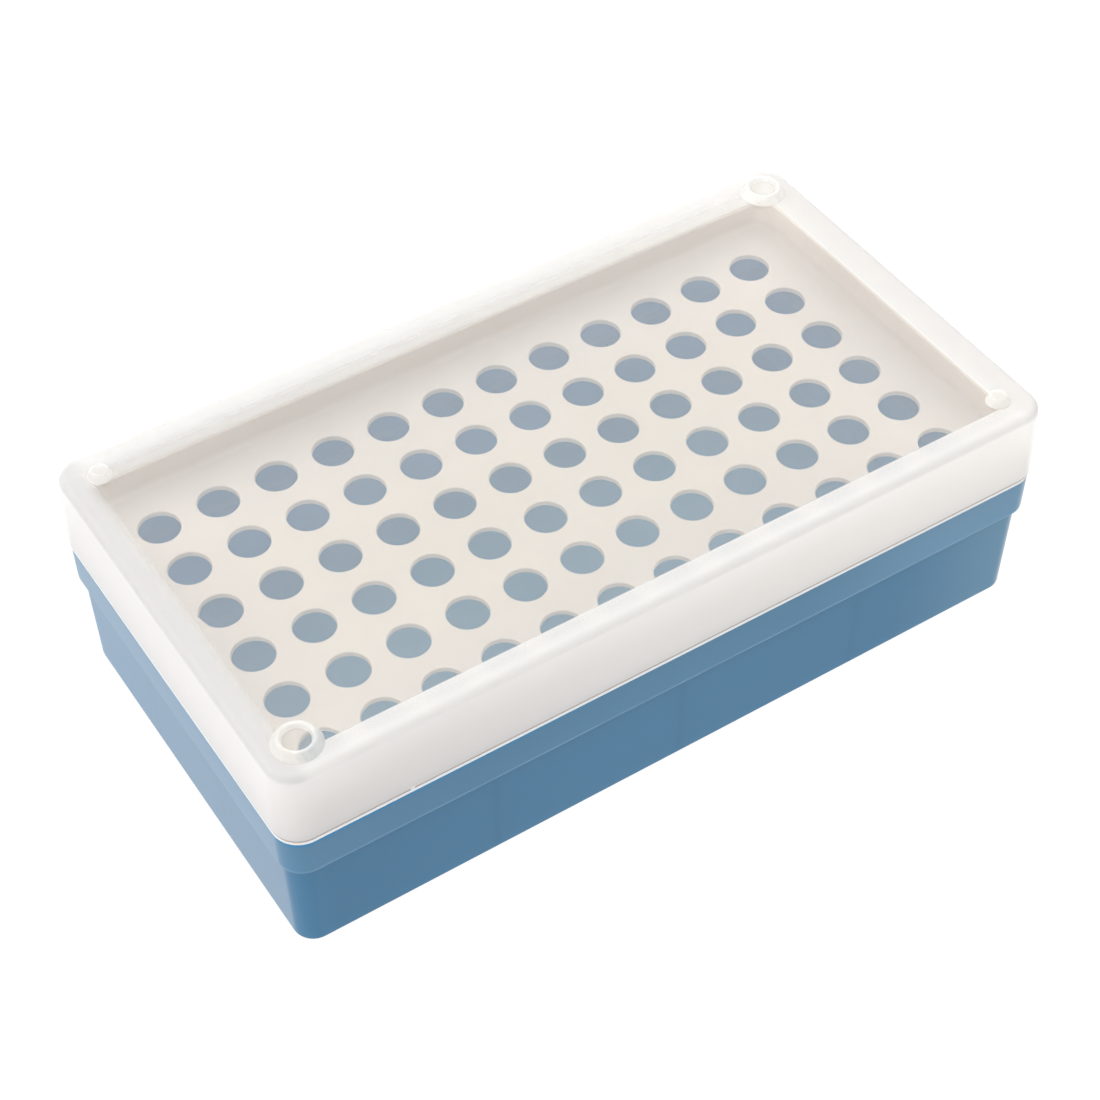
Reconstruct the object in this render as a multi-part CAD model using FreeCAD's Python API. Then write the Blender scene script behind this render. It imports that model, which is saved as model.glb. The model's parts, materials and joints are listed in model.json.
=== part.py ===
# A bench box for microtubes: a deep tray, a perforated rack that stands in its mouth, and a lift-off lid.
# Millimetres. X is the length, Y the width and Z is up. The origin is the centre of the tray's underside.
import FreeCAD, Part
import math
import os

# The grid of tube holes
HOLE_COLUMNS = 12
HOLE_ROWS = 6
HOLE_PITCH = 16.75
HOLE_DIAMETER = 11.0

# Every outline is a rounded rectangle, and its half width is its half length less this
LENGTH_OVER_WIDTH = 51.7

# Tray: a tapered body under a wider band, which ends in the rim
TRAY_WALL = 1.6
TRAY_FLOOR = 1.8
TRAY_FOOT_HALF = 109.6
TRAY_BODY_HALF = 110.3
TRAY_BAND_HALF = 111.6
TRAY_RIM_HALF = 111.8
TRAY_FOOT_CORNER = 5.6
TRAY_BODY_CORNER = 6.3
TRAY_BAND_CORNER = 6.8
TRAY_RIM_CORNER = 7.0
TRAY_BODY_TOP = 29.3
TRAY_BAND_BOTTOM = 30.8
TRAY_RIM = 42.1
TRAY_FOOT_ROUND = 1.0
TRAY_RIM_ROUND = 0.4

# Stiffening ribs inside the tray's walls
RIB_THICKNESS = 1.2
RIB_DEPTH = 2.0
RIB_TOP = 28.0
LONG_WALL_RIBS = (-55.0, 0.0, 55.0)
SHORT_WALL_RIBS = (-18.4, 18.4)

# Rack: a plate inside an upright wall, whose flange lies on the tray's rim
PLATE_TOP = 49.3
PLATE_THICKNESS = 1.6
PLATE_ROUND = 2.0
RACK_WALL_TOP = 56.4
RACK_WALL_BOTTOM = 38.1
RACK_WALL_HALF_TOP = 109.8
RACK_WALL_HALF_BOTTOM = 109.5
RACK_WALL = 1.2
RACK_CORNER = 5.4
RACK_WELL_CORNER = 6.0
RACK_TOP_ROUND = 0.45
FLANGE_THICKNESS = 1.0
FLANGE_HALF = 112.0
FLANGE_CORNER = 7.2
FLANGE_ROUND = 0.3

# Lid: a shallow cover that stands on the rack's flange
LID_WALL = 1.5
LID_TOP = 66.0
LID_HALF_TOP = 111.6
LID_HALF_BOTTOM = 112.0
LID_CORNER = 7.2
LID_TOP_ROUND = 2.2
LID_FOOT_ROUND = 0.35

# Stacking bosses on the lid: wide dished ones on one diagonal, narrow solid ones on the other
BOSS_X = 101.9
BOSS_Y = 50.5
BOSS_ROOT = 0.5
WIDE_BOSS_HEIGHT = 2.3
WIDE_BOSS_BASE = 6.0
WIDE_BOSS_TOP = 4.7
WIDE_BOSS_DISH = 3.75
WIDE_BOSS_DISH_DEPTH = 1.3
WIDE_BOSS_ROUND = 0.4
NARROW_BOSS_HEIGHT = 2.1
NARROW_BOSS_BASE = 3.0
NARROW_BOSS_TOP = 2.2
NARROW_BOSS_ROUND = 0.4

CUT_PAST = 1.0
LEVEL_TOLERANCE = 0.001


def outline(z, half_length, corner):
    """A rounded rectangle at one height, as a closed wire."""
    half_width = half_length - LENGTH_OVER_WIDTH
    centres = (
        (half_length - corner, half_width - corner, 0),
        (corner - half_length, half_width - corner, 90),
        (corner - half_length, corner - half_width, 180),
        (half_length - corner, corner - half_width, 270),
    )
    arcs = []
    for x, y, start in centres:
        points = []
        for turn in (0, 45, 90):
            angle = math.radians(start + turn)
            points.append(FreeCAD.Vector(x + corner * math.cos(angle), y + corner * math.sin(angle), z))
        arcs.append(points)
    edges = []
    for number, points in enumerate(arcs):
        following = arcs[(number + 1) % len(arcs)]
        edges.append(Part.Arc(*points).toShape())
        edges.append(Part.makeLine(points[2], following[0]))
    return Part.Wire(edges)


def stack(levels):
    """A solid whose straight-sided walls pass through each (height, half length, corner radius)."""
    return Part.makeLoft([outline(*level) for level in levels], True, True)


def inset(levels, wall):
    """The same levels with every wall moved inwards."""
    return [(z, half_length - wall, corner - wall) for z, half_length, corner in levels]


def rounded_at(shape, height, radius):
    """The shape with its level edges at one height rounded."""
    edges = []
    for edge in shape.Edges:
        box = edge.BoundBox
        if abs(box.ZMin - height) < LEVEL_TOLERANCE and abs(box.ZMax - height) < LEVEL_TOLERANCE:
            edges.append(edge)
    return shape.makeFillet(radius, edges)


def rib(along, across, x, y):
    """One upright rib, standing on the tray's floor."""
    bottom = TRAY_FLOOR / 2
    corner = FreeCAD.Vector(x - along / 2, y - across / 2, bottom)
    return Part.makeBox(along, across, RIB_TOP - bottom, corner)


def tray_ribs():
    """The ribs of all four walls. Each one's outer end is buried in its wall."""
    inner_half = TRAY_FOOT_HALF - TRAY_WALL
    inner_width = inner_half - LENGTH_OVER_WIDTH
    length = RIB_DEPTH + TRAY_WALL
    reach = (TRAY_WALL - RIB_DEPTH) / 2
    ribs = []
    for side in (-1, 1):
        for x in LONG_WALL_RIBS:
            ribs.append(rib(RIB_THICKNESS, length, x, side * (inner_width + reach)))
        for y in SHORT_WALL_RIBS:
            ribs.append(rib(length, RIB_THICKNESS, side * (inner_half + reach), y))
    return ribs


def make_tray():
    """The open tray, with its ribs."""
    levels = [
        (0.0, TRAY_FOOT_HALF, TRAY_FOOT_CORNER),
        (TRAY_BODY_TOP, TRAY_BODY_HALF, TRAY_BODY_CORNER),
        (TRAY_BAND_BOTTOM, TRAY_BAND_HALF, TRAY_BAND_CORNER),
        (TRAY_RIM, TRAY_RIM_HALF, TRAY_RIM_CORNER),
    ]
    body = rounded_at(stack(levels), 0.0, TRAY_FOOT_ROUND)
    hollow_levels = inset(levels, TRAY_WALL)
    hollow_levels[0] = (TRAY_FLOOR,) + hollow_levels[0][1:]
    hollow_levels.append((TRAY_RIM + CUT_PAST,) + hollow_levels[-1][1:])
    hollow = rounded_at(stack(hollow_levels), TRAY_FLOOR, TRAY_FOOT_ROUND)
    shell = rounded_at(body.cut(hollow), TRAY_RIM, TRAY_RIM_ROUND)
    inside = stack(inset(levels, TRAY_WALL / 2))
    return shell.fuse([each.common(inside) for each in tray_ribs()]).removeSplitter()


def tube_holes():
    """A cylinder for each tube hole, through the rack's plate."""
    bottom = PLATE_TOP - PLATE_THICKNESS - CUT_PAST
    depth = PLATE_THICKNESS + 2 * CUT_PAST
    holes = []
    for column in range(HOLE_COLUMNS):
        for row in range(HOLE_ROWS):
            x = (column - (HOLE_COLUMNS - 1) / 2) * HOLE_PITCH
            y = (row - (HOLE_ROWS - 1) / 2) * HOLE_PITCH
            holes.append(Part.makeCylinder(HOLE_DIAMETER / 2, depth, FreeCAD.Vector(x, y, bottom)))
    return holes


def make_rack():
    """The perforated plate, its wall and its flange, moulded in one."""
    wall = stack([
        (RACK_WALL_BOTTOM, RACK_WALL_HALF_BOTTOM, RACK_CORNER),
        (RACK_WALL_TOP, RACK_WALL_HALF_TOP, RACK_CORNER),
    ])
    flange = stack([
        (TRAY_RIM, FLANGE_HALF, FLANGE_CORNER),
        (TRAY_RIM + FLANGE_THICKNESS, FLANGE_HALF, FLANGE_CORNER),
    ])
    flange = rounded_at(flange, TRAY_RIM + FLANGE_THICKNESS, FLANGE_ROUND)
    well = stack([
        (PLATE_TOP, RACK_WALL_HALF_BOTTOM - RACK_WALL, RACK_WELL_CORNER),
        (RACK_WALL_TOP + CUT_PAST, RACK_WALL_HALF_TOP - RACK_WALL, RACK_WELL_CORNER),
    ])
    well = rounded_at(well, PLATE_TOP, PLATE_ROUND)
    under = stack([
        (RACK_WALL_BOTTOM - CUT_PAST, RACK_WALL_HALF_BOTTOM - RACK_WALL, RACK_CORNER),
        (PLATE_TOP - PLATE_THICKNESS, RACK_WALL_HALF_BOTTOM - RACK_WALL, RACK_CORNER),
    ])
    body = rounded_at(wall.cut(well), RACK_WALL_TOP, RACK_TOP_ROUND)
    return body.fuse(flange).cut([under] + tube_holes()).removeSplitter()


def boss(base, top, height, rounding):
    """A tapered round boss, rooted in the lid's top."""
    cone = Part.makeCone(base, top, height)
    cone = rounded_at(cone, height, rounding)
    root = Part.makeCylinder(base, BOSS_ROOT, FreeCAD.Vector(0, 0, -BOSS_ROOT))
    return root.fuse(cone)


def make_lid():
    """The cover, with its two wide and two narrow bosses."""
    levels = [
        (TRAY_RIM + FLANGE_THICKNESS, LID_HALF_BOTTOM, LID_CORNER),
        (LID_TOP, LID_HALF_TOP, LID_CORNER),
    ]
    outer = rounded_at(stack(levels), LID_TOP, LID_TOP_ROUND)
    outer = rounded_at(outer, TRAY_RIM + FLANGE_THICKNESS, LID_FOOT_ROUND)
    inner_levels = [
        (TRAY_RIM + FLANGE_THICKNESS - CUT_PAST, LID_HALF_BOTTOM - LID_WALL, LID_CORNER - LID_WALL),
        (LID_TOP - LID_WALL, LID_HALF_TOP - LID_WALL, LID_CORNER - LID_WALL),
    ]
    inner = rounded_at(stack(inner_levels), LID_TOP - LID_WALL, LID_TOP_ROUND - LID_WALL)
    lid = outer.cut(inner)
    wide = boss(WIDE_BOSS_BASE, WIDE_BOSS_TOP, WIDE_BOSS_HEIGHT, WIDE_BOSS_ROUND)
    dish_bottom = FreeCAD.Vector(0, 0, WIDE_BOSS_HEIGHT - WIDE_BOSS_DISH_DEPTH)
    dish = Part.makeCylinder(WIDE_BOSS_DISH, WIDE_BOSS_DISH_DEPTH + CUT_PAST, dish_bottom)
    narrow = boss(NARROW_BOSS_BASE, NARROW_BOSS_TOP, NARROW_BOSS_HEIGHT, NARROW_BOSS_ROUND)
    for side_x in (-1, 1):
        for side_y in (-1, 1):
            place = FreeCAD.Vector(side_x * BOSS_X, side_y * BOSS_Y, LID_TOP)
            shape = wide.cut(dish) if side_x == side_y else narrow.copy()
            lid = lid.fuse(shape.translated(place))
    return lid.removeSplitter()


def main():
    os.makedirs("parts", exist_ok=True)
    parts = {
        "base_tray": make_tray(),
        "tube_rack": make_rack(),
        "lift_off_lid": make_lid(),
    }
    for name, shape in parts.items():
        solid = shape.Solids[0]
        box = solid.BoundBox
        print(name, "solids", len(shape.Solids), "valid", solid.isValid(), "volume", round(solid.Volume),
              "size", round(box.XLength, 2), round(box.YLength, 2), round(box.ZMin, 2), round(box.ZMax, 2))
        solid.exportStep(os.path.join("parts", name + ".step"))


main()
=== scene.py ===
import bpy, bmesh
import json
import math
from mathutils import Matrix, Vector
from mathutils.geometry import delaunay_2d_cdt


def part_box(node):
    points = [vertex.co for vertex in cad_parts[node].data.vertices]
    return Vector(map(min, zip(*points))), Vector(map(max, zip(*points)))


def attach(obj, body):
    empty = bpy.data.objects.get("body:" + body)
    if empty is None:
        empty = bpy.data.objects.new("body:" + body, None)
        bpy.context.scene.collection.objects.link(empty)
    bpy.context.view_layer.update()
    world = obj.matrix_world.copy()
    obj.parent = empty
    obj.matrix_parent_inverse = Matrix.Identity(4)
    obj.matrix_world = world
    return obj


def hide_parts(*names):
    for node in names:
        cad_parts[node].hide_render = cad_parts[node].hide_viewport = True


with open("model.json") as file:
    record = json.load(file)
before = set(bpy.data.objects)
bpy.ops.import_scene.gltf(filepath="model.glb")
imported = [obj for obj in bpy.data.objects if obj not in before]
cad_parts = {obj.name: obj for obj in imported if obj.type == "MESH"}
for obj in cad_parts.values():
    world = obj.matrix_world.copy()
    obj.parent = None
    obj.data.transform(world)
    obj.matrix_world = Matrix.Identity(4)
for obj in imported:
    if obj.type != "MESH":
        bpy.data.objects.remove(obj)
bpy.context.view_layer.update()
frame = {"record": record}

MM = 0.001

# Places that the CAD frame gives
TRAY_LOW, TRAY_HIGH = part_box("base_tray")
RACK_LOW, RACK_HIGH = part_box("tube_rack")
LID_LOW, LID_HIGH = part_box("lift_off_lid")
LENGTH_OVER_WIDTH = RACK_HIGH.x - RACK_HIGH.y
HOLES = [m for m in frame["record"]["mounts"] if m["name"].startswith("tube_hole")]
HOLE_RADIUS = HOLES[0]["dims"]["r_mm"] * MM
HOLE_XS = sorted({round(m["pos_m"][0], 6) for m in HOLES})
HOLE_YS = sorted({round(m["pos_m"][1], 6) for m in HOLES})
PITCH = HOLE_XS[1] - HOLE_XS[0]
PLATE_THICKNESS = HOLES[0]["dims"]["length_mm"] * MM
PLATE_TOP = HOLES[0]["pos_m"][2] + PLATE_THICKNESS / 2
PLATE_UNDER = PLATE_TOP - PLATE_THICKNESS


# ---------------------------------------------------------------- mesh tools

def arc_steps(radius):
    """How many flat steps a rounding of this radius gets."""
    return max(3, min(10, int(2 + radius / MM * 4)))


def rounded(path):
    """A profile of (half length, height, corner radius) from corners with a rounding each.
    Every item is (half, z, corner, rounding), in metres. The two ends stay as they are."""
    out = [path[0][:3]]
    for before, here, after in zip(path, path[1:], path[2:]):
        point = Vector((here[0], here[1]))
        towards = Vector((before[0], before[1])) - point
        away = Vector((after[0], after[1])) - point
        radius = here[3]
        angle = towards.angle(away)
        if radius <= 0 or angle > math.radians(179):
            out.append(here[:3])
            continue
        towards.normalize()
        away.normalize()
        back = radius / math.tan(angle / 2)
        centre = point + (towards + away).normalized() * (radius / math.sin(angle / 2))
        first = point + towards * back - centre
        last = point + away * back - centre
        turn = first.angle(last)
        steps = arc_steps(radius)
        for i in range(steps + 1):
            share = i / steps
            spot = (first * math.sin((1 - share) * turn) + last * math.sin(share * turn)) / math.sin(turn)
            spot = spot + centre
            out.append((spot.x, spot.y, here[2] + spot.x - here[0]))
    out.append(path[-1][:3])
    return out


def ring_points(half, z, corner, xs, ys, arc=10, rib_depth=0.0):
    """One level ring of a rounded rectangle, counter-clockwise from above. xs and ys are places along
    the sides as (place, is on a rib's crest), from low to high."""
    half_y = half - LENGTH_OVER_WIDTH
    points = []
    sides = (
        (ys, 1, lambda s, d: (half - d, s), (1, 1), 0),
        (xs, -1, lambda s, d: (s, half_y - d), (-1, 1), 90),
        (ys, -1, lambda s, d: (-half + d, s), (-1, -1), 180),
        (xs, 1, lambda s, d: (s, -half_y + d), (1, -1), 270),
    )
    for places, order, put, sign, start in sides:
        for place, crest in places[::order]:
            x, y = put(place, rib_depth if crest else 0.0)
            points.append((x, y, z))
        cx = sign[0] * (half - corner)
        cy = sign[1] * (half_y - corner)
        for i in range(arc + 1):
            angle = math.radians(start + 90 * i / arc)
            points.append((cx + corner * math.cos(angle), cy + corner * math.sin(angle), z))
    return points


def add_ring(bm, points):
    return [bm.verts.new(p) for p in points]


def bridge(bm, lower, upper, material=0):
    """Quads between two rings of as many points."""
    count = len(lower)
    for i in range(count):
        j = (i + 1) % count
        face = bm.faces.new((lower[i], lower[j], upper[j], upper[i]))
        face.material_index = material


def skin(bm, profile, ring_of, material=0):
    """Rings along a profile and the quads between them. Returns the rings."""
    rings = [add_ring(bm, ring_of(*level)) for level in profile]
    for lower, upper in zip(rings, rings[1:]):
        bridge(bm, lower, upper, material)
    return rings


def cap(bm, ring, material=0):
    face = bm.faces.new(ring)
    face.material_index = material
    return face


SHARP_ANGLE = math.radians(50)
LARGE_FACE_WEIGHT = 100


def finish_piece(bm, name, body, node, materials):
    """Makes the object, with its smooth shading, and ties it to its CAD body."""
    bmesh.ops.recalc_face_normals(bm, faces=bm.faces)
    mesh = bpy.data.meshes.new(name)
    bm.to_mesh(mesh)
    bm.free()
    for material in materials:
        mesh.materials.append(material)
    mesh.shade_smooth()
    mesh.set_sharp_from_angle(angle=SHARP_ANGLE)
    obj = bpy.data.objects.new(name, mesh)
    bpy.context.scene.collection.objects.link(obj)
    weighted = obj.modifiers.new("even_shading", "WEIGHTED_NORMAL")
    weighted.keep_sharp = True
    weighted.weight = LARGE_FACE_WEIGHT
    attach(obj, body)
    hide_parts(node)


# ---------------------------------------------------------------- material tools

WHITE = (1.0, 1.0, 1.0, 1.0)
# The range that most of a noise's values fall in
NOISE_LOW = 0.3
NOISE_HIGH = 0.7
PLASTIC_IOR = 1.5
LID_IOR = 1.49


class Nodes:
    """Short names for building one material's node tree."""

    def __init__(self, name):
        self.material = bpy.data.materials.new(name)
        self.material.use_nodes = True
        self.tree = self.material.node_tree
        self.tree.nodes.clear()
        self.output = self.tree.nodes.new("ShaderNodeOutputMaterial")
        self.place = self.tree.nodes.new("ShaderNodeTexCoord").outputs["Object"]

    def new(self, kind, inputs=(), **settings):
        node = self.tree.nodes.new(kind)
        for key, value in settings.items():
            setattr(node, key, value)
        for key, value in dict(inputs).items():
            self.put(node.inputs[key], value)
        return node

    def put(self, socket, value):
        if isinstance(value, bpy.types.NodeSocket):
            self.tree.links.new(value, socket)
        else:
            socket.default_value = value

    def maths(self, operation, a, b=0.0):
        node = self.new("ShaderNodeMath", operation=operation)
        self.put(node.inputs[0], a)
        self.put(node.inputs[1], b)
        return node.outputs[0]

    def times(self, a, b):
        return self.maths("MULTIPLY", a, b)

    def plus(self, a, b):
        return self.maths("ADD", a, b)

    def minus(self, a, b):
        return self.maths("SUBTRACT", a, b)

    def larger(self, a, b):
        return self.maths("MAXIMUM", a, b)

    def root(self, a):
        return self.maths("SQRT", a)

    def size(self, a):
        """A number without its sign."""
        return self.maths("ABSOLUTE", a)

    def length(self, a, b):
        """The length of a flat step of a along X and b along Y."""
        return self.root(self.plus(self.times(a, a), self.times(b, b)))

    def ramp(self, value, low, high, to_low=0.0, to_high=1.0, smooth=True):
        """Maps low..high to to_low..to_high, held at the ends."""
        node = self.new("ShaderNodeMapRange", interpolation_type="SMOOTHSTEP" if smooth else "LINEAR")
        limits = {"From Min": low, "From Max": high, "To Min": to_low, "To Max": to_high}
        for key, number in limits.items():
            node.inputs[key].default_value = number
        self.put(node.inputs["Value"], value)
        return node.outputs["Result"]

    def vary(self, noise, low=0.0, high=1.0):
        """Spreads a noise, most of which lies near its middle, over low to high."""
        return self.ramp(noise, NOISE_LOW, NOISE_HIGH, low, high)

    def axes(self):
        node = self.new("ShaderNodeSeparateXYZ", {"Vector": self.place})
        return node.outputs

    def scaled(self, sizes):
        return self.new("ShaderNodeMapping", {"Vector": self.place, "Scale": sizes}).outputs[0]

    def noise(self, scale, detail=3.0, roughness=0.5, vector=None):
        node = self.new("ShaderNodeTexNoise", {"Vector": vector or self.place, "Scale": scale,
                                               "Detail": detail, "Roughness": roughness})
        return node.outputs["Fac"]

    def mix(self, share, a, b):
        """A mix of two colours."""
        node = self.new("ShaderNodeMix", data_type="RGBA")
        self.put(node.inputs[0], share)
        self.put(node.inputs[6], a)
        self.put(node.inputs[7], b)
        return node.outputs[2]

    def between(self, share, a, b):
        """A mix of two numbers."""
        return self.new("ShaderNodeMix", {0: share, 2: a, 3: b}, data_type="FLOAT").outputs[0]

    def bump(self, height, strength, distance):
        inputs = {"Height": height, "Strength": strength, "Distance": distance}
        return self.new("ShaderNodeBump", inputs).outputs[0]

    def shader(self, kind, inputs, normal=None):
        """A shader node. Without a normal it uses the surface's own."""
        if normal is not None:
            inputs["Normal"] = normal
        return self.new(kind, inputs).outputs[0]

    def plastic(self, colour, roughness, ior, normal=None):
        inputs = {"Base Color": colour, "Roughness": roughness, "IOR": ior}
        return self.shader("ShaderNodeBsdfPrincipled", inputs, normal)

    def glow(self, colour, normal=None):
        """Light that comes through from behind."""
        return self.shader("ShaderNodeBsdfTranslucent", {"Color": colour}, normal)

    def clear(self, colour):
        return self.shader("ShaderNodeBsdfTransparent", {"Color": colour})

    def gloss(self, roughness, normal):
        return self.shader("ShaderNodeBsdfGlossy", {"Color": WHITE, "Roughness": roughness}, normal)

    def fresnel(self, ior, normal):
        return self.shader("ShaderNodeFresnel", {"IOR": ior}, normal)

    def blend(self, share, a, b):
        """A mix of two shaders."""
        return self.shader("ShaderNodeMixShader", {0: share, 1: a, 2: b})

    def show(self, shader):
        self.tree.links.new(shader, self.output.inputs["Surface"])
        return self.material


def linear(red, green, blue):
    """A screen colour, 0 to 255, as a linear one."""
    values = []
    for part in (red, green, blue):
        part = part / 255
        values.append(part / 12.92 if part <= 0.04045 else ((part + 0.055) / 1.055) ** 2.4)
    return (*values, 1.0)


def sheen(n, normal, roughness, strength):
    """The extra gloss that a surface takes on where it's seen nearly edge on."""
    share = n.ramp(n.fresnel(PLASTIC_IOR, normal), 0.12, 0.42, 0.0, strength)
    return share, n.gloss(roughness, normal)


# ---------------------------------------------------------------- tray

TRAY_FLOOR = 1.8 * MM
TRAY_FOOT = 109.6 * MM
TRAY_BODY = 110.3 * MM
TRAY_BAND = 111.6 * MM
TRAY_BODY_TOP = 29.3 * MM
TRAY_BAND_BOTTOM = 30.8 * MM
TRAY_WALL = 1.6 * MM
RIB_TOP = 28.0 * MM
RIB_DEPTH = 2.0 * MM
RIB_XS = (-55.0 * MM, 0.0, 55.0 * MM)
RIB_YS = (-18.4 * MM, 18.4 * MM)
# How far a rib's root and crest stand from its middle, in millimetres
RIB_ROOT_HALF = 0.8
RIB_CREST_HALF = 0.5

TRAY_BLUE = linear(61, 118, 152)
TRAY_BLUE_LIGHTER = linear(67, 124, 157)
# Painted light: paler blues for the band and the right end
TRAY_BAND_PAINTED_LIGHT = linear(150, 186, 208)
TRAY_RIGHT_END_PAINTED_LIGHT = linear(150, 186, 197)
# Painted glow for the rim, and a painted highlight for the band's lower edge
TRAY_RIM_PAINTED_GLOW = linear(20, 136, 190)
TRAY_STEP_HIGHLIGHT = linear(150, 190, 214)
TRAY_SINK = linear(46, 100, 136)
# Painted light for the tray's floor and inner walls
TRAY_INSIDE_PAINTED_LIGHT = linear(80, 168, 194)
TRAY_GLOW = linear(140, 196, 230)


def tray_sides(centres, reach):
    """Places along one side, with four for each rib: its roots and its crests."""
    places = [(-reach, False), (reach, False)]
    for centre in centres:
        for offset, crest in (
            (-RIB_ROOT_HALF, False), (-RIB_CREST_HALF, True),
            (RIB_CREST_HALF, True), (RIB_ROOT_HALF, False),
        ):
            places.append((centre + offset * MM, crest))
    return sorted(places)


def inside_walls(n):
    """1 on the tray's floor and the inner faces of its walls, and 0 on the outside."""
    x, y, z = n.axes()
    skin_depth = 0.45 * MM
    half_edge = 0.15 * MM
    corner = 5.6 * MM
    wider = 1.65 * MM
    straight_x = TRAY_FOOT - corner
    straight_y = TRAY_FOOT - LENGTH_OVER_WIDTH - corner
    out_x = n.larger(n.minus(n.size(x), straight_x), 0.0)
    out_y = n.larger(n.minus(n.size(y), straight_y), 0.0)
    swell = n.ramp(z, TRAY_BODY_TOP - 0.3 * MM, TRAY_BAND_BOTTOM, 0.0, wider, smooth=False)
    reach = n.minus(n.length(out_x, out_y), swell)
    edge = corner - skin_depth
    within = n.ramp(reach, edge - half_edge, edge + half_edge, 1.0, 0.0)
    above = n.ramp(z, TRAY_FLOOR - 0.6 * MM, TRAY_FLOOR - 0.4 * MM)
    return n.times(within, above)


def rib_marks(n):
    """1 along each rib's mark on the tray's wall, up to the rib's top, and 0 elsewhere."""
    x, y, z = n.axes()

    def near_any(place, centres):
        marks = None
        for centre in centres:
            mark = n.ramp(n.size(n.minus(place, centre)), 0.3 * MM, 1.5 * MM, 1.0, 0.0)
            marks = mark if marks is None else n.larger(marks, mark)
        return marks

    on_end = n.ramp(n.size(x), TRAY_FOOT - 2 * MM, TRAY_FOOT - 1 * MM)
    marks = n.between(on_end, near_any(x, RIB_XS), near_any(y, RIB_YS))
    return n.times(marks, n.ramp(z, RIB_TOP - 1 * MM, RIB_TOP + 1 * MM, 1.0, 0.0))


def tray_material():
    """Blue plastic. Some of its tints are painted light, which varies with place to match the photo's
    uneven light.
    """
    n = Nodes("blue_tray_plastic")
    x, _, z = n.axes()
    broad = n.noise(8.0, 0.0)
    base = n.mix(n.vary(broad), TRAY_BLUE, TRAY_BLUE_LIGHTER)

    # Painted light: the band is a little paler, most towards both ends and the right, and the whole right
    # end is paler too
    band = n.ramp(z, TRAY_BAND_BOTTOM - 0.4 * MM, TRAY_BAND_BOTTOM + 0.4 * MM)
    band_light_at_ends = n.ramp(n.size(x), 50 * MM, 110 * MM, 0.13, 0.19)
    band_light_to_right = n.ramp(x, 30 * MM, 85 * MM, 0.0, 0.21)
    base = n.mix(n.times(band, n.plus(band_light_at_ends, band_light_to_right)), base, TRAY_BAND_PAINTED_LIGHT)
    right_end_light = n.times(n.ramp(x, 62 * MM, 110 * MM, 0.0, 0.30), n.minus(1.0, band))
    base = n.mix(right_end_light, base, TRAY_RIGHT_END_PAINTED_LIGHT)

    # Painted glow on the rim, bluest at the near corner, and a painted highlight along the band's lower
    # edge, broken up by noise
    rim = n.ramp(z, TRAY_HIGH.z - 1.3 * MM, TRAY_HIGH.z - 0.6 * MM)
    glow_near_corner = n.ramp(x, -75 * MM, 0.0, 0.85, 0.12)
    base = n.mix(n.times(rim, glow_near_corner), base, TRAY_RIM_PAINTED_GLOW)
    edge = n.size(n.minus(z, TRAY_BAND_BOTTOM + 0.1 * MM))
    highlight_breakup = n.ramp(n.noise(90.0, 3.0), 0.3, 0.6, 0.35, 0.8)
    step_highlight = n.times(n.ramp(edge, 0.15 * MM, 0.75 * MM, 1.0, 0.0), highlight_breakup)
    base = n.mix(n.times(step_highlight, 0.55), base, TRAY_STEP_HIGHLIGHT)

    marks = rib_marks(n)
    base = n.mix(n.times(marks, 0.20), base, TRAY_SINK)
    # Painted light: the tray's floor and inner walls are paler, most low down
    inside = n.ramp(z, TRAY_FLOOR + 12 * MM, TRAY_FLOOR + 30 * MM, 1.0, 0.65)
    base = n.mix(n.times(inside, inside_walls(n)), base, TRAY_INSIDE_PAINTED_LIGHT)

    normal = n.bump(marks, -0.5, 0.12 * MM)
    solid = n.plastic(base, n.vary(broad, 0.28, 0.32), PLASTIC_IOR, normal)
    both = n.blend(0.34, solid, n.glow(TRAY_GLOW, normal))
    edge_on, edge_gloss = sheen(n, normal, 0.3, 0.16)
    return n.show(n.blend(edge_on, both, edge_gloss))


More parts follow.
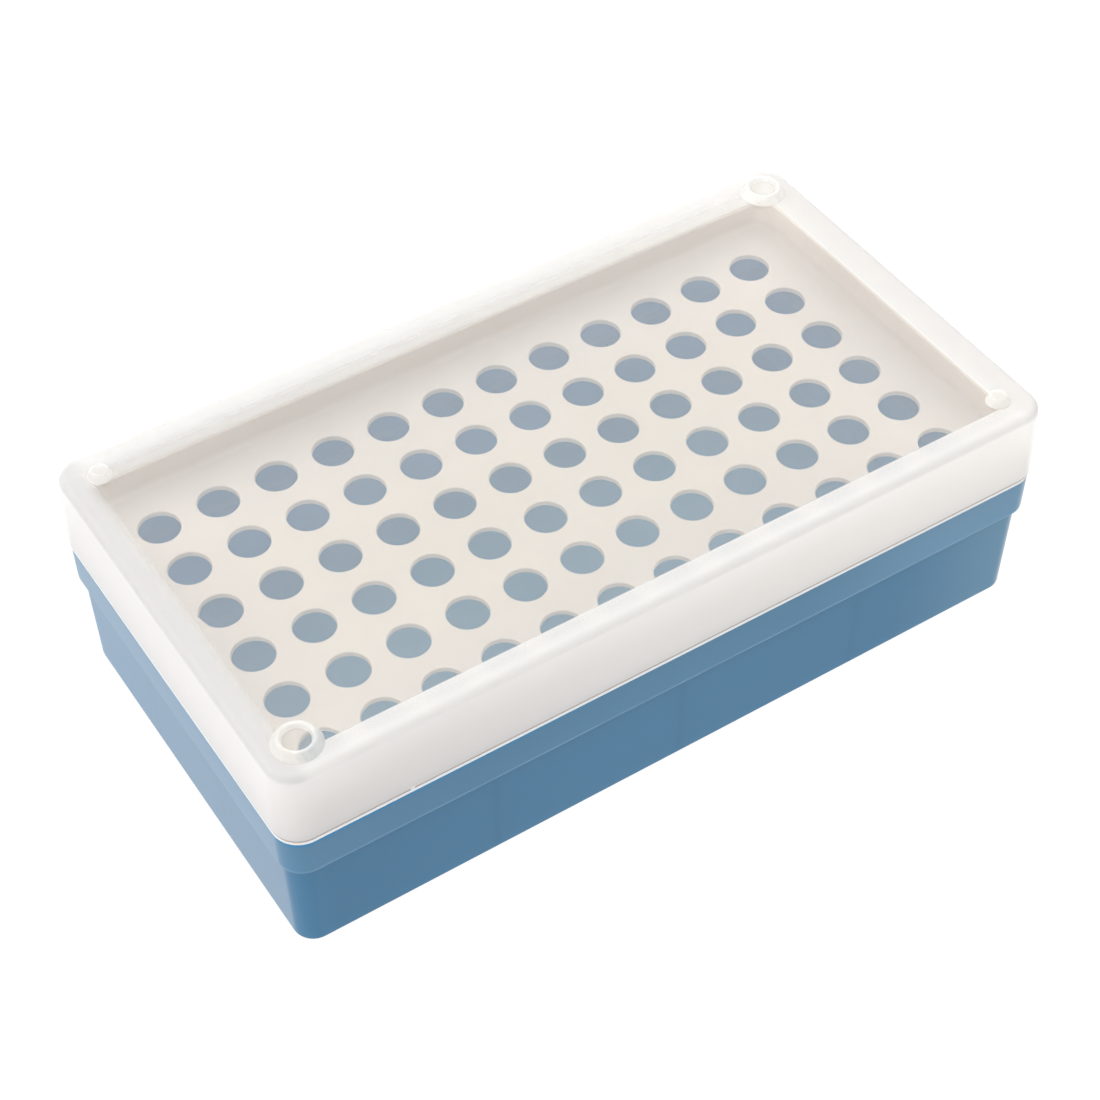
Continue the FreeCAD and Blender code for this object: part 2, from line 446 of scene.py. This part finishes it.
def make_tray():
    xs = tray_sides(RIB_XS, 100 * MM)
    ys = tray_sides(RIB_YS, 50 * MM)
    outside = rounded([
        (TRAY_FOOT - 6 * MM, TRAY_LOW.z, 0.8 * MM),
        (TRAY_FOOT, TRAY_LOW.z, 5.6 * MM, 1.0 * MM),
        (TRAY_BODY, TRAY_BODY_TOP, 6.3 * MM, 0.5 * MM),
        (TRAY_BAND, TRAY_BAND_BOTTOM, 6.8 * MM, 0.7 * MM),
        (TRAY_HIGH.x, TRAY_HIGH.z, 7.0 * MM, 0.4 * MM),
        (TRAY_HIGH.x - TRAY_WALL, TRAY_HIGH.z, 5.4 * MM, 0.3 * MM),
        (TRAY_BAND - TRAY_WALL, TRAY_BAND_BOTTOM, 5.2 * MM, 0.7 * MM),
        (TRAY_BODY - TRAY_WALL, TRAY_BODY_TOP, 4.7 * MM, 0.5 * MM),
        (TRAY_BODY - TRAY_WALL - 0.03 * MM, RIB_TOP, 4.7 * MM, 0),
        (TRAY_BODY - TRAY_WALL - 0.05 * MM, RIB_TOP - 1.2 * MM, 4.6 * MM, 0),
        (TRAY_FOOT - TRAY_WALL, TRAY_FLOOR, 4.0 * MM, 1.0 * MM),
        (TRAY_FOOT - TRAY_WALL - 2 * MM, TRAY_FLOOR, 2.0 * MM),
    ])
    bm = bmesh.new()
    top = max(range(len(outside)), key=lambda i: outside[i][1])
    rings = []
    for i, (half, z, corner) in enumerate(outside):
        ribbed = i > top and z < RIB_TOP - 0.5 * MM
        rings.append(add_ring(bm, ring_points(half, z, corner, xs, ys, 12, RIB_DEPTH if ribbed else 0.0)))
    for lower, upper in zip(rings, rings[1:]):
        bridge(bm, lower, upper)
    cap(bm, rings[0])
    cap(bm, rings[-1])
    finish_piece(bm, "blue_tray", "tray", "base_tray", [tray_material()])


# ---------------------------------------------------------------- rack

RACK_WALL_BOTTOM = RACK_LOW.z
RACK_WALL_TOP = RACK_HIGH.z
FLANGE_BOTTOM = TRAY_HIGH.z
FLANGE_TOP = LID_LOW.z
RACK_OUTER_TOP = 109.8 * MM
RACK_OUTER_BOTTOM = 109.5 * MM
RACK_WALL = 1.2 * MM
CELL_STEPS = 16
HOLE_EDGE = 0.35 * MM
HOLE_UNDER_EDGE = 0.2 * MM


RACK_WARM = linear(253, 243, 231)
# Painted shade towards the rack's edges
RACK_OUTWARDS_SHADE = linear(238, 229, 221)
# Painted light for the right wall's inner face
RACK_RIGHT_WALL_PAINTED_LIGHT = linear(255, 247, 239)
RACK_FLOW = linear(238, 227, 217)
# Painted light for what lies below the plate's top
RACK_UNDER_PLATE_PAINTED_LIGHT = linear(255, 250, 244)
RACK_LIP = linear(253, 252, 251)
RACK_SPECK = linear(150, 120, 90)


def rack_material():
    """Off-white plastic. Some of its tints are painted light and shade, which vary with place to match
    the photo's uneven light.
    """
    n = Nodes("white_rack_plastic")
    x, y, z = n.axes()
    broad = n.noise(9.0, 2.0)
    cloud = n.noise(45.0, 4.0, 0.6)
    flow = n.noise(30.0, 5.0, 0.6, n.scaled((0.3, 2.0, 1.0)))
    past = n.larger(n.size(x), n.plus(n.size(y), LENGTH_OVER_WIDTH))
    # Painted shade: the plate grows darker towards its edges
    base = n.mix(n.ramp(past, 70 * MM, 104 * MM), RACK_WARM, RACK_OUTWARDS_SHADE)
    # Painted light on the right wall's inner face, above the plate
    above_plate = n.ramp(z, PLATE_TOP + 0.2 * MM, PLATE_TOP + 2 * MM)
    lit_right_wall = n.ramp(x, 103 * MM, 107 * MM)
    base = n.mix(n.times(above_plate, lit_right_wall), base, RACK_RIGHT_WALL_PAINTED_LIGHT)
    base = n.mix(n.ramp(flow, 0.45, 0.8, 0.0, 0.35), base, RACK_FLOW)
    # Painted light on the hole walls and everything else below the plate's top
    under_plate_light = n.ramp(z, PLATE_TOP - 0.5 * MM, PLATE_TOP - 0.2 * MM, 0.6, 0.0)
    base = n.mix(under_plate_light, base, RACK_UNDER_PLATE_PAINTED_LIGHT)
    lip = n.ramp(past, RACK_OUTER_TOP + 1.2 * MM, RACK_OUTER_TOP + 1.8 * MM)
    base = n.mix(lip, base, RACK_LIP)
    speck = n.noise(900.0, 1.0, 0.5)
    base = n.mix(n.ramp(speck, 0.79, 0.83, 0.0, 0.5), base, RACK_SPECK)
    normal = n.bump(broad, 0.3, 0.5 * MM)
    solid = n.plastic(base, n.vary(cloud, 0.38, 0.48), PLASTIC_IOR, normal)
    return n.show(n.blend(0.32, solid, n.glow(base, normal)))


# One worn hole: its column and row, counted from the middle of the grid, and the chip and the
# swelling of its edge. Turns are in degrees, from the X axis.
WORN_COLUMN = -5.5
WORN_ROW = 0.5
CHIP_TURN = 166
CHIP_HALF_WIDTH = 5
CHIP_DEPTH = 0.35 * MM
SWELL_FROM = 174
SWELL_TO = 212
SWELL_HEIGHT = 0.28 * MM


def nick(cx, cy, angle):
    """How far the edge of one worn hole stands off its circle at this angle."""
    close = 0.1 * MM
    if abs(cx - WORN_COLUMN * PITCH) > close or abs(cy - WORN_ROW * PITCH) > close:
        return 0.0
    turn = math.degrees(angle)
    if abs(turn - CHIP_TURN) < CHIP_HALF_WIDTH:
        return CHIP_DEPTH
    if SWELL_FROM < turn < SWELL_TO:
        share = (turn - SWELL_FROM) / (SWELL_TO - SWELL_FROM)
        return -SWELL_HEIGHT * math.sin(math.radians(share * 180))
    return 0.0


def hole_levels():
    """The profile of a hole's edge as (radius, height), from the plate's top to its underside."""
    levels = []
    turn = 4
    for i in range(turn + 1):
        angle = math.pi / 2 * i / turn
        radius = HOLE_RADIUS + HOLE_EDGE * (1 - math.sin(angle))
        levels.append((radius, PLATE_TOP - HOLE_EDGE * (1 - math.cos(angle))))
    for i in range(turn + 1):
        angle = math.pi / 2 * i / turn
        radius = HOLE_RADIUS + HOLE_UNDER_EDGE * (1 - math.cos(angle))
        levels.append((radius, PLATE_UNDER + HOLE_UNDER_EDGE * (1 - math.sin(angle))))
    return levels


def cell_edge():
    """The places round one square cell of the plate, relative to its hole's centre."""
    high = PITCH / 2
    low = -PITCH / 2
    step = PITCH / CELL_STEPS
    edge = [(high, low + i * step) for i in range(CELL_STEPS)]
    edge += [(high - i * step, high) for i in range(CELL_STEPS)]
    edge += [(low, high - i * step) for i in range(CELL_STEPS)]
    edge += [(low + i * step, low) for i in range(CELL_STEPS)]
    return edge


def make_rack():
    bm = bmesh.new()
    grid_x = PITCH * len(HOLE_XS) / 2
    grid_y = PITCH * len(HOLE_YS) / 2
    step = PITCH / CELL_STEPS
    known = {}

    def grid_vert(x, y, z):
        key = (round(x * 1e7), round(y * 1e7), round(z * 1e7))
        if key not in known:
            known[key] = bm.verts.new((x, y, z))
        return known[key]

    edge = cell_edge()
    levels = hole_levels()
    for cx in HOLE_XS:
        for cy in HOLE_YS:
            rings = [[grid_vert(cx + x, cy + y, PLATE_TOP) for x, y in edge]]
            for radius, z in levels:
                ring = []
                for i in range(len(edge)):
                    angle = -math.pi / 4 + 2 * math.pi * i / len(edge)
                    out = radius + nick(cx, cy, angle)
                    place = (cx + out * math.cos(angle), cy + out * math.sin(angle), z)
                    ring.append(bm.verts.new(place))
                rings.append(ring)
            rings.append([grid_vert(cx + x, cy + y, PLATE_UNDER) for x, y in edge])
            for upper, lower in zip(rings, rings[1:]):
                bridge(bm, upper, lower)

    xs = [(-grid_x + i * step, False) for i in range(CELL_STEPS * len(HOLE_XS) + 1)]
    ys = [(-grid_y + i * step, False) for i in range(CELL_STEPS * len(HOLE_YS) + 1)]
    well = RACK_OUTER_BOTTOM - RACK_WALL
    flange = RACK_HIGH.x - 0.1 * MM
    profile = rounded([
        (well - 3 * MM, PLATE_TOP, 3.0 * MM),
        (well, PLATE_TOP, 6.0 * MM, 1.8 * MM),
        (RACK_OUTER_TOP - RACK_WALL, RACK_WALL_TOP, 6.0 * MM, 0.4 * MM),
        (RACK_OUTER_TOP, RACK_WALL_TOP, 6.6 * MM, 0.4 * MM),
        (RACK_OUTER_BOTTOM + 0.1 * MM, FLANGE_TOP, 5.8 * MM, 0.3 * MM),
        (flange, FLANGE_TOP, 7.2 * MM, 0.3 * MM),
        (flange, FLANGE_BOTTOM, 7.2 * MM, 0.2 * MM),
        (RACK_OUTER_BOTTOM + 0.05 * MM, FLANGE_BOTTOM, 5.6 * MM, 0.15 * MM),
        (RACK_OUTER_BOTTOM, RACK_WALL_BOTTOM, 5.4 * MM, 0.35 * MM),
        (well, RACK_WALL_BOTTOM, 4.4 * MM, 0.35 * MM),
        (well, PLATE_UNDER, 4.4 * MM, 0.6 * MM),
        (well - 3 * MM, PLATE_UNDER, 2.4 * MM),
    ])
    arc = 12
    rings = skin(bm, profile, lambda *level: ring_points(*level, xs, ys, arc))
    for ring, z in ((rings[0], PLATE_TOP), (rings[-1], PLATE_UNDER)):
        start = 0
        sides = (
            [(grid_x, s) for s, _ in ys],
            [(s, grid_y) for s, _ in xs[::-1]],
            [(-grid_x, s) for s, _ in ys[::-1]],
            [(s, -grid_y) for s, _ in xs],
        )
        for places in sides:
            inner = [grid_vert(x, y, z) for x, y in places]
            outer = ring[start:start + len(places)]
            for i in range(len(places) - 1):
                bm.faces.new((inner[i], inner[i + 1], outer[i + 1], outer[i]))
            start += len(places)
            corner = [outer[-1]]
            for i in range(arc + 1):
                corner.append(ring[(start + i) % len(ring)])
            corner.append(ring[(start + arc + 1) % len(ring)])
            start += arc + 1
            for a, b in zip(corner, corner[1:]):
                bm.faces.new((inner[-1], a, b))
    finish_piece(bm, "white_tube_rack", "rack", "tube_rack", [rack_material()])


# ---------------------------------------------------------------- lid

BOSS_X = 101.9 * MM
BOSS_Y = 50.5 * MM
LID_TOP = 66.0 * MM
LID_WALL = 1.5 * MM
LID_HALF_TOP = 111.6 * MM
WINDOW_LEFT = -105.6 * MM
WINDOW_RIGHT = 101.6 * MM
WINDOW_Y = 53.1 * MM
# Half the width of the window's sharp edges and of its soft ones
WINDOW_CRISP = 0.15 * MM
WINDOW_SOFT = 2.6 * MM
GATE_MARK = (-78.7 * MM, -60.2 * MM, 43.7 * MM)
# The bosses' profiles from foot to middle, as (radius, height above the lid's top), in millimetres
WIDE_BOSS = (
    (6.25, 0.0), (6.14, 0.03), (6.05, 0.12), (5.94, 0.3), (5.56, 0.9), (5.20, 1.5), (5.00, 1.84),
    (4.90, 2.05), (4.76, 2.2), (4.56, 2.28), (4.36, 2.3), (4.16, 2.29), (3.98, 2.22), (3.84, 2.08),
    (3.76, 1.85), (3.70, 1.45), (3.62, 1.2), (3.46, 1.06), (3.2, 1.01), (2.2, 0.99), (1.0, 0.98),
)
NARROW_BOSS = (
    (3.25, 0.0), (3.14, 0.03), (3.05, 0.12), (2.96, 0.3), (2.74, 0.9), (2.50, 1.45), (2.36, 1.75),
    (2.18, 1.96), (1.94, 2.07), (1.6, 2.1), (0.7, 2.09),
)


def over_window(n):
    """1 over the polished window of the lid's top, and 0 on its border and walls. Two edges are soft."""
    x, y, z = n.axes()
    mask = n.ramp(z, LID_TOP - LID_WALL - 0.4 * MM, LID_TOP - LID_WALL - 0.2 * MM)
    for place, low, high, to_low, to_high in (
        (y, -WINDOW_Y - WINDOW_CRISP, -WINDOW_Y + WINDOW_CRISP, 0.0, 1.0),
        (y, WINDOW_Y - WINDOW_SOFT, WINDOW_Y + WINDOW_SOFT, 1.0, 0.0),
        (x, WINDOW_RIGHT - WINDOW_CRISP, WINDOW_RIGHT + WINDOW_CRISP, 1.0, 0.0),
        (x, WINDOW_LEFT - WINDOW_SOFT, WINDOW_LEFT + WINDOW_SOFT, 0.0, 1.0),
    ):
        mask = n.times(mask, n.ramp(place, low, high, to_low, to_high))
    return mask


# The order of the lid's three materials
OUTER_SKIN = 0
INNER_SKIN = 1
BOSS_SKIN = 2

# Painted shade and light across the lid's walls, darker at the left
LID_WALL_LEFT_PAINTED_SHADE = linear(234, 233, 233)
LID_WALL_RIGHT_PAINTED_LIGHT = linear(254, 253, 251)
LID_BORDER = linear(236, 236, 235)
# Painted shade at the border's ends
LID_BORDER_LEFT_PAINTED_SHADE = linear(219, 219, 219)
LID_BORDER_RIGHT_PAINTED_SHADE = linear(228, 227, 226)
LID_WINDOW = linear(240, 245, 248)
# Painted highlight along the window's right edge
LID_EDGE_PAINTED_HIGHLIGHT = linear(255, 255, 250)
# Painted shade along the lid's foot
LID_FOOT_PAINTED_SHADE = linear(150, 140, 130)
LID_GATE = linear(255, 254, 250)
LID_STREAK = linear(252, 252, 250)
LID_INSIDE = linear(244, 243, 241)
LID_BOSS = linear(236, 236, 234)
OUTER_CLEAR = (0.985, 0.985, 0.98, 1.0)
INNER_CLEAR = (0.99, 0.99, 0.985, 1.0)


def frosted_tint(n, flat, window, streak):
    """The outer skin's colour. Some of its tints are painted light and shade, which vary with place to
    match the photo's light.
    """
    x, y, z = n.axes()
    # Painted shade: the walls grow darker towards the left, and the border's ends are darker, most at the
    # left
    left_to_right_shade = n.ramp(x, -LID_HIGH.x, LID_HIGH.x)
    walls = n.mix(left_to_right_shade, LID_WALL_LEFT_PAINTED_SHADE, LID_WALL_RIGHT_PAINTED_LIGHT)
    border_end_shade = n.ramp(n.size(x), WINDOW_RIGHT + 1 * MM, WINDOW_RIGHT + 6 * MM)
    border = n.mix(border_end_shade, LID_BORDER, n.mix(left_to_right_shade, LID_BORDER_LEFT_PAINTED_SHADE, LID_BORDER_RIGHT_PAINTED_SHADE))
    tint = n.mix(flat, walls, border)
    tint = n.mix(window, tint, LID_WINDOW)

    # A painted highlight line along the window's right edge
    off_line = n.size(n.minus(x, WINDOW_RIGHT + 0.1 * MM))
    edge_highlight = n.times(n.ramp(off_line, 0.1 * MM, 0.4 * MM, 0.8, 0.0), flat)
    edge_highlight = n.times(edge_highlight, n.ramp(n.size(y), WINDOW_Y - 1 * MM, WINDOW_Y, 1.0, 0.0))
    tint = n.mix(edge_highlight, tint, LID_EDGE_PAINTED_HIGHLIGHT)

    # The painted shade along the foot, the gate mark and the streaks of the front strip
    foot = n.ramp(z, LID_LOW.z + 0.45 * MM, LID_LOW.z + 0.85 * MM, 1.0, 0.0)
    tint = n.mix(n.times(foot, 0.75), tint, LID_FOOT_PAINTED_SHADE)
    gate = n.new("ShaderNodeVectorMath", {0: n.place, 1: GATE_MARK}, operation="DISTANCE")
    in_gate = n.ramp(gate.outputs["Value"], 0.45 * MM, 0.75 * MM, 1.0, 0.0)
    tint = n.mix(in_gate, tint, LID_GATE)
    return n.mix(n.times(streak, 0.35), tint, LID_STREAK)


def frosted_material():
    """The lid's outer skin: frosted on its walls and border, polished clear over the window."""
    n = Nodes("frosted_lid_skin")
    x, y, z = n.axes()
    window = over_window(n)
    flat = n.ramp(z, LID_TOP - 2.4 * MM, LID_TOP - 0.9 * MM)
    past = n.larger(n.minus(n.size(x), WINDOW_RIGHT), n.minus(n.size(y), WINDOW_Y))
    edging = n.times(n.ramp(past, 1.2 * MM, 6.2 * MM, 1.0, 0.0), flat)
    front = n.ramp(y, -WINDOW_Y, -WINDOW_Y + 4 * MM, 1.0, 0.0)
    front_strip = n.times(edging, front)
    cloud = n.noise(40.0, 4.0, 0.6)

    # How much of the light goes straight through
    haze = n.between(flat, 0.14, n.between(edging, 0.03, 0.11))
    mottle = n.vary(n.noise(2600.0, 3.0, 0.75), 0.6, 1.4)
    frost_open = n.times(haze, n.between(front_strip, 1.0, mottle))
    opening = n.between(window, frost_open, n.vary(cloud, 0.83, 0.86))

    along = n.noise(70.0, 4.0, 0.6, n.scaled((0.12, 4.0, 1.0)))
    streak = n.times(n.ramp(along, 0.56, 0.72), front_strip)
    tint = frosted_tint(n, flat, window, streak)
    normal = n.bump(n.noise(10.0, 2.0), 0.25, 0.5 * MM)
    solid = n.plastic(tint, n.vary(cloud, 0.34, 0.44), LID_IOR, normal)
    body = n.blend(n.between(flat, 0.38, 0.58), solid, n.glow(tint, normal))
    skin_mix = n.blend(opening, body, n.clear(OUTER_CLEAR))
    shine = n.times(n.times(n.fresnel(LID_IOR, normal), opening), 1.8)
    top = n.blend(shine, skin_mix, n.gloss(0.25, normal))
    edge_on, edge_gloss = sheen(n, normal, 0.3, 0.2)
    edge_on = n.times(edge_on, n.minus(1.0, flat))
    return n.show(n.blend(edge_on, top, edge_gloss))


def inner_material():
    """The lid's inner skin: nearly clear, with a slight haze."""
    n = Nodes("lid_inner_skin")
    cloud = n.noise(50.0, 4.0, 0.6)
    normal = n.bump(n.noise(10.0, 2.0), 0.25, 0.5 * MM)
    solid = n.plastic(LID_INSIDE, n.vary(cloud, 0.06, 0.12), LID_IOR, normal)
    return n.show(n.blend(n.vary(cloud, 0.94, 0.96), solid, n.clear(INNER_CLEAR)))


def boss_material():
    """The bosses: bright frosted sides and rims, and polished floors and tops."""
    n = Nodes("lid_boss_skin")
    x, y, _ = n.axes()
    reach = n.length(n.minus(n.size(x), BOSS_X), n.minus(n.size(y), BOSS_Y))
    wide = n.maths("GREATER_THAN", n.times(x, y), 0.0)
    floor = n.ramp(reach, 3.3 * MM, 3.6 * MM, 1.0, 0.0)
    top = n.ramp(reach, 1.5 * MM, 2.1 * MM, 1.0, 0.0)
    polished = n.between(wide, top, floor)
    cloud = n.noise(400.0, 3.0, 0.6)
    polish_open = n.between(wide, 0.40, 0.66)
    opening = n.between(polished, n.vary(cloud, 0.20, 0.30), polish_open)
    solid = n.plastic(LID_BOSS, n.vary(cloud, 0.26, 0.34), LID_IOR)
    body = n.blend(0.56, solid, n.glow(LID_BOSS))
    return n.show(n.blend(opening, body, n.clear(OUTER_CLEAR)))


def add_bosses(bm):
    """The four bosses. Returns each one's foot, as (its ring, its centre, its radius)."""
    feet = []
    segments = 64
    for side_x in (-1, 1):
        for side_y in (-1, 1):
            shape = WIDE_BOSS if side_x == side_y else NARROW_BOSS
            centre = Vector((side_x * BOSS_X, side_y * BOSS_Y))
            rings = []
            for radius, height in shape:
                ring = []
                for i in range(segments):
                    angle = 2 * math.pi * i / segments
                    x = centre.x + radius * MM * math.cos(angle)
                    y = centre.y + radius * MM * math.sin(angle)
                    ring.append(bm.verts.new((x, y, LID_TOP + height * MM)))
                rings.append(ring)
            for lower, upper in zip(rings, rings[1:]):
                bridge(bm, lower, upper, BOSS_SKIN)
            cap(bm, rings[-1], BOSS_SKIN)
            feet.append((rings[0], centre, shape[0][0] * MM))
    return feet


def add_flat_top(bm, outline, feet):
    """Fills the lid's flat top, inside its outline and outside the bosses' feet."""
    verts = []
    edges = []
    for ring in [outline] + [foot for foot, _, _ in feet]:
        start = len(verts)
        verts += ring
        edges += [(start + i, start + (i + 1) % len(ring)) for i in range(len(ring))]
    points = [Vector((v.co.x, v.co.y)) for v in verts]
    found, _, faces, origin, _, _ = delaunay_2d_cdt(points, edges, [], 1, 1e-7)
    for face in faces:
        middle = sum((found[i] for i in face), Vector((0, 0))) / len(face)
        if any((middle - centre).length < radius * 0.999 for _, centre, radius in feet):
            continue
        made = bm.faces.new([verts[origin[i][0]] for i in face])
        made.material_index = OUTER_SKIN


def make_lid():
    xs = [(-98 * MM + i * 14 * MM, False) for i in range(15)]
    ys = [(-46.5 * MM + i * 15.5 * MM, False) for i in range(7)]
    arc = 14
    outer = rounded([
        (LID_HALF_TOP - 2.35 * MM, LID_TOP, 4.85 * MM),
        (LID_HALF_TOP, LID_TOP, 7.2 * MM, 2.2 * MM),
        (LID_HIGH.x, LID_LOW.z, 7.2 * MM, 0.35 * MM),
        (LID_HIGH.x - LID_WALL, LID_LOW.z, 5.7 * MM, 0),
    ])
    inner = rounded([
        (LID_HIGH.x - LID_WALL, LID_LOW.z, 5.7 * MM),
        (LID_HALF_TOP - LID_WALL, LID_TOP - LID_WALL, 5.7 * MM, 0.7 * MM),
        (LID_HALF_TOP - LID_WALL - 3 * MM, LID_TOP - LID_WALL, 2.7 * MM),
    ])
    bm = bmesh.new()

    def ring_of(half, z, corner):
        return ring_points(half, z, corner, xs, ys, arc)

    outer_rings = skin(bm, outer, ring_of, OUTER_SKIN)
    inner_rings = [outer_rings[-1]] + [add_ring(bm, ring_of(*level)) for level in inner[1:]]
    for lower, upper in zip(inner_rings, inner_rings[1:]):
        bridge(bm, lower, upper, INNER_SKIN)
    cap(bm, inner_rings[-1], INNER_SKIN)
    add_flat_top(bm, outer_rings[0], add_bosses(bm))
    finish_piece(bm, "frosted_lid", "lid", "lift_off_lid",
                 [frosted_material(), inner_material(), boss_material()])


# ---------------------------------------------------------------- stage, light and camera

FLOOR_HALF = 6.0
FLOOR_Z = -0.0002
FLOOR_GREY = (0.9, 0.9, 0.9, 1.0)


def make_stage():
    mesh = bpy.data.meshes.new("studio_floor")
    corners = [(-1, -1), (1, -1), (1, 1), (-1, 1)]
    mesh.from_pydata([(x * FLOOR_HALF, y * FLOOR_HALF, 0) for x, y in corners], [], [(0, 1, 2, 3)])
    floor = bpy.data.objects.new("studio_floor", mesh)
    floor.location.z = FLOOR_Z
    bpy.context.scene.collection.objects.link(floor)
    n = Nodes("pale_floor")
    rough = n.vary(n.noise(400.0, 3.0), 0.75, 0.85)
    paper = n.shader("ShaderNodeBsdfDiffuse", {"Color": FLOOR_GREY, "Roughness": rough})
    shine = n.shader("ShaderNodeEmission", {"Color": WHITE, "Strength": 1.05})
    mesh.materials.append(n.show(n.blend(0.88, paper, shine)))


# The studio's glow: a white room and two softboxes, as (way to it, from cosine, to cosine, strength)
ROOM_GLOW = 0.86
SOFTBOXES = (
    (Vector((0.28, 0.55, 0.79)).normalized(), -0.2, 0.95, 1.05),
    (Vector((-0.9, 0.15, 0.36)).normalized(), 0.1, 0.95, 0.85),
)


def make_world():
    world = bpy.data.worlds.new("studio")
    bpy.context.scene.world = world
    world.use_nodes = True
    tree = world.node_tree
    background = tree.nodes["Background"]
    background.inputs["Color"].default_value = WHITE
    place = tree.nodes.new("ShaderNodeTexCoord").outputs["Generated"]
    total = None
    for way, low, high, strength in SOFTBOXES:
        facing = tree.nodes.new("ShaderNodeVectorMath")
        facing.operation = "DOT_PRODUCT"
        tree.links.new(place, facing.inputs[0])
        facing.inputs[1].default_value = way
        glow = tree.nodes.new("ShaderNodeMapRange")
        glow.interpolation_type = "SMOOTHSTEP"
        limits = {"From Min": low, "From Max": high, "To Min": 0.0, "To Max": strength}
        for key, number in limits.items():
            glow.inputs[key].default_value = number
        tree.links.new(facing.outputs["Value"], glow.inputs["Value"])
        added = tree.nodes.new("ShaderNodeMath")
        added.operation = "ADD"
        tree.links.new(glow.outputs["Result"], added.inputs[0])
        if total is None:
            added.inputs[1].default_value = ROOM_GLOW
        else:
            tree.links.new(total, added.inputs[1])
        total = added.outputs[0]
    tree.links.new(total, background.inputs["Strength"])


KEY_PLACE = Vector((-0.9, 0.5, 1.1))
KEY_TARGET = Vector((0, 0, 0.03))
KEY_SIZE = 0.9
KEY_POWER = 3.0


def make_key_light():
    data = bpy.data.lights.new("soft_key", "AREA")
    data.shape = "RECTANGLE"
    data.size = KEY_SIZE
    data.size_y = KEY_SIZE
    data.energy = KEY_POWER
    lamp = bpy.data.objects.new("soft_key", data)
    bpy.context.scene.collection.objects.link(lamp)
    lamp.location = KEY_PLACE
    lamp.rotation_mode = "QUATERNION"
    lamp.rotation_quaternion = (KEY_TARGET - KEY_PLACE).to_track_quat("-Z", "Y")


# The camera as fitted to the photo, in millimetres and degrees
CAMERA_PLACE = Vector((-236.68, -365.20, 490.17)) * MM
CAMERA_AIM = Vector((-13.36, -18.02, 48.5)) * MM
CAMERA_ROLL = math.radians(-0.273)
CAMERA_LENS = 78.93
CAMERA_SENSOR = 36.0


def make_camera():
    """The camera stands at the front left, above, and looks down at the rack's plate."""
    data = bpy.data.cameras.new("camera")
    data.sensor_width = CAMERA_SENSOR
    data.lens = CAMERA_LENS
    data.clip_start = 0.01
    data.clip_end = 50.0
    camera = bpy.data.objects.new("camera", data)
    bpy.context.scene.collection.objects.link(camera)
    back = (CAMERA_PLACE - CAMERA_AIM).normalized()
    level = Vector((0, 0, 1)).cross(back).normalized()
    rise = back.cross(level)
    right = level * math.cos(CAMERA_ROLL) + rise * math.sin(CAMERA_ROLL)
    up = back.cross(right)
    turn = Matrix((right, up, back)).transposed().to_4x4()
    camera.matrix_world = Matrix.Translation(CAMERA_PLACE) @ turn
    bpy.context.scene.camera = camera


make_tray()
make_rack()
make_lid()
make_stage()
make_world()
make_key_light()
make_camera()
bpy.context.scene.view_settings.view_transform = "Standard"
